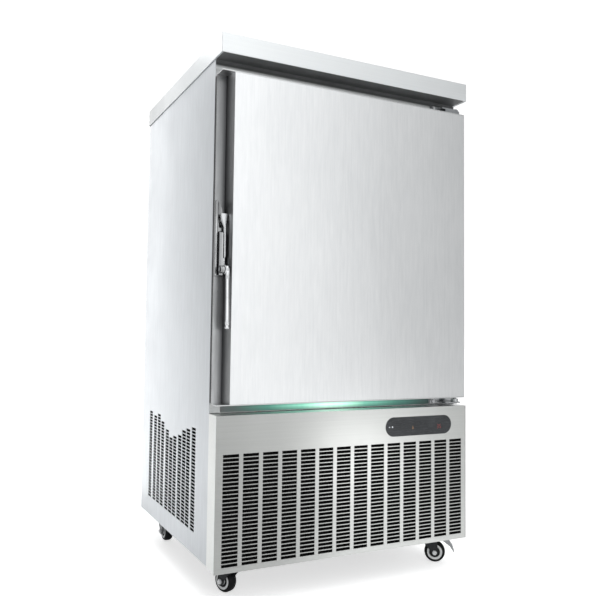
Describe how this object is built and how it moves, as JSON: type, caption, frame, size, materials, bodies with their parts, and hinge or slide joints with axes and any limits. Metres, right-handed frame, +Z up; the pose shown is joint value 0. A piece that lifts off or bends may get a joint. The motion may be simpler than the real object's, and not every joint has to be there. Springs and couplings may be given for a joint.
{
  "type": "blast chiller",
  "caption": "Upright stainless steel blast chiller with a solid full-overlay door, lever latch, slotted lower panel with touch display, and swivel castors.",
  "frame": {"origin": "on the floor, at the middle of the outer box in X and Y", "axes": "+Z up, +X to the right of someone facing the door, the door faces -Y"},
  "size_m": [0.8, 0.735, 1.465],
  "materials": {
    "stainless": "satin",
    "stainless_inner": "satin",
    "galvanised": "matte",
    "chromed": "polished",
    "zinc": "satin",
    "dark_steel": "satin",
    "foam": "matte",
    "board_core": "matte",
    "black_plastic": "matte",
    "white_plastic": "satin",
    "window": "gloss",
    "circuit": "satin",
    "light_bar": "gloss",
    "seal": "matte",
    "tyre": "matte",
    "fins": "satin",
    "black_paint": "satin",
    "copper": "satin"
  },
  "bodies": {
    "cabinet": {"worktop": "stainless", "worktop_core": "board_core", "left_side_panel": "stainless", "right_side_panel": "stainless", "rear_upper_panel": "stainless", "rear_vent_panel": "galvanised", "front_frame": "stainless", "base_plate": "galvanised", "base_rails": "galvanised", "cabinet_foam": "foam", "inner_liner": "stainless_inner", "lower_front_panel": "stainless", "control_window": "window", "control_board": "circuit", "status_light_bar": "light_bar", "upper_hinge_bracket": "zinc", "lower_hinge_bracket": "zinc", "hinge_pins": "zinc", "strike_plate": "zinc", "tray_rack_left": "stainless_inner", "tray_rack_right": "stainless_inner", "evaporator_cover": "stainless_inner", "evaporator_coil": "fins", "evap_fan_motors": "dark_steel", "fan_guards": "chromed", "compressor": "black_paint", "condenser_coil": "fins", "condenser_shroud": "galvanised", "condenser_fan_motor": "dark_steel", "electrical_box": "zinc", "liquid_receiver": "black_paint", "refrigerant_pipes": "copper", "castor_plates": "zinc", "panel_screws": "zinc", "cable_gland": "black_plastic"},
    "door": {"door_skin": "stainless", "door_channel": "stainless", "door_foam": "foam", "door_inner_pan": "stainless_inner", "door_top_cap": "stainless", "door_bottom_cap": "stainless", "door_gasket": "seal", "door_bushes": "white_plastic", "latch_housing": "chromed", "latch_pin": "chromed"},
    "latch_lever": {"latch_lever": "chromed"},
    "latch_bolt": {"latch_bolt": "chromed"},
    "evap_fan_upper": {"evap_fan_upper": "black_plastic"},
    "evap_fan_lower": {"evap_fan_lower": "black_plastic"},
    "condenser_fan": {"condenser_fan": "black_plastic"},
    "castor_fork_fl": {"castor_fork_fl": "dark_steel"},
    "castor_wheel_fl": {"castor_wheel_fl": "tyre"},
    "castor_fork_fr": {"castor_fork_fr": "dark_steel"},
    "castor_wheel_fr": {"castor_wheel_fr": "tyre"},
    "castor_fork_rl": {"castor_fork_rl": "dark_steel"},
    "castor_wheel_rl": {"castor_wheel_rl": "tyre"},
    "castor_fork_rr": {"castor_fork_rr": "dark_steel"},
    "castor_wheel_rr": {"castor_wheel_rr": "tyre"},
    "brake_pedal_fr": {"brake_pedal_fr": "zinc"},
    "brake_pedal_rr": {"brake_pedal_rr": "zinc"}
  },
  "joints": [
    {"name": "door_swing", "type": "hinge", "parent": "cabinet", "child": "door", "pos_m": [0.372, -0.3455, 0.5], "axis": [0, 0, 1], "range_deg": [0, 110]},
    {"name": "latch_lever_turn", "type": "hinge", "parent": "door", "child": "latch_lever", "pos_m": [-0.3735, -0.3525, 0.85], "axis": [-1, 0, 0], "range_deg": [0, 35], "stiffness_Nm_per_rad": 0.8, "springref_deg": -22.92},
    {"name": "latch_bolt_slide", "type": "slide", "parent": "door", "child": "latch_bolt", "axis": [0, 0, -1], "range_m": [0, 0.0122]},
    {"name": "castor_swivel_fl", "type": "hinge", "parent": "cabinet", "child": "castor_fork_fl", "pos_m": [-0.312, -0.2695, 0.08], "axis": [0, 0, 1], "continuous": true},
    {"name": "castor_roll_fl", "type": "hinge", "parent": "castor_fork_fl", "child": "castor_wheel_fl", "pos_m": [-0.32014, -0.25123, 0.031], "axis": [-0.9135, -0.4067, 0], "continuous": true},
    {"name": "castor_swivel_fr", "type": "hinge", "parent": "cabinet", "child": "castor_fork_fr", "pos_m": [0.332, -0.2695, 0.08], "axis": [0, 0, 1], "continuous": true},
    {"name": "castor_roll_fr", "type": "hinge", "parent": "castor_fork_fr", "child": "castor_wheel_fr", "pos_m": [0.34776, -0.28181, 0.031], "axis": [0.6157, 0.788, 0], "continuous": true},
    {"name": "castor_swivel_rl", "type": "hinge", "parent": "cabinet", "child": "castor_fork_rl", "pos_m": [-0.334, 0.2875, 0.08], "axis": [0, 0, 1], "continuous": true},
    {"name": "castor_roll_rl", "type": "hinge", "parent": "castor_fork_rl", "child": "castor_wheel_rl", "pos_m": [-0.33295, 0.26753, 0.031], "axis": [0.9986, 0.0523, 0], "continuous": true},
    {"name": "castor_swivel_rr", "type": "hinge", "parent": "cabinet", "child": "castor_fork_rr", "pos_m": [0.332, 0.2875, 0.08], "axis": [0, 0, 1], "continuous": true},
    {"name": "castor_roll_rr", "type": "hinge", "parent": "castor_fork_rr", "child": "castor_wheel_rr", "pos_m": [0.342, 0.30482, 0.031], "axis": [-0.866, 0.5, 0], "continuous": true},
    {"name": "brake_press_fr", "type": "hinge", "parent": "castor_fork_fr", "child": "brake_pedal_fr", "pos_m": [0.35367, -0.28643, 0.0703], "axis": [0.6157, 0.788, 0], "range_deg": [0, 8]},
    {"name": "brake_press_rr", "type": "hinge", "parent": "castor_fork_rr", "child": "brake_pedal_rr", "pos_m": [0.34575, 0.31132, 0.0703], "axis": [-0.866, 0.5, 0], "range_deg": [0, 8]},
    {"name": "evap_fan_upper_spin", "type": "hinge", "parent": "cabinet", "child": "evap_fan_upper", "pos_m": [0, 0.1425, 1.127], "axis": [0, 1, 0], "continuous": true},
    {"name": "evap_fan_lower_spin", "type": "hinge", "parent": "cabinet", "child": "evap_fan_lower", "pos_m": [0, 0.1425, 0.745], "axis": [0, 1, 0], "continuous": true},
    {"name": "condenser_fan_spin", "type": "hinge", "parent": "cabinet", "child": "condenser_fan", "pos_m": [-0.09, -0.2415, 0.285], "axis": [0, 1, 0], "continuous": true}
  ],
  "couplings": [
    {"joint": "latch_lever_turn", "follows": "latch_bolt_slide", "rad_per_m": 50}
  ]
}
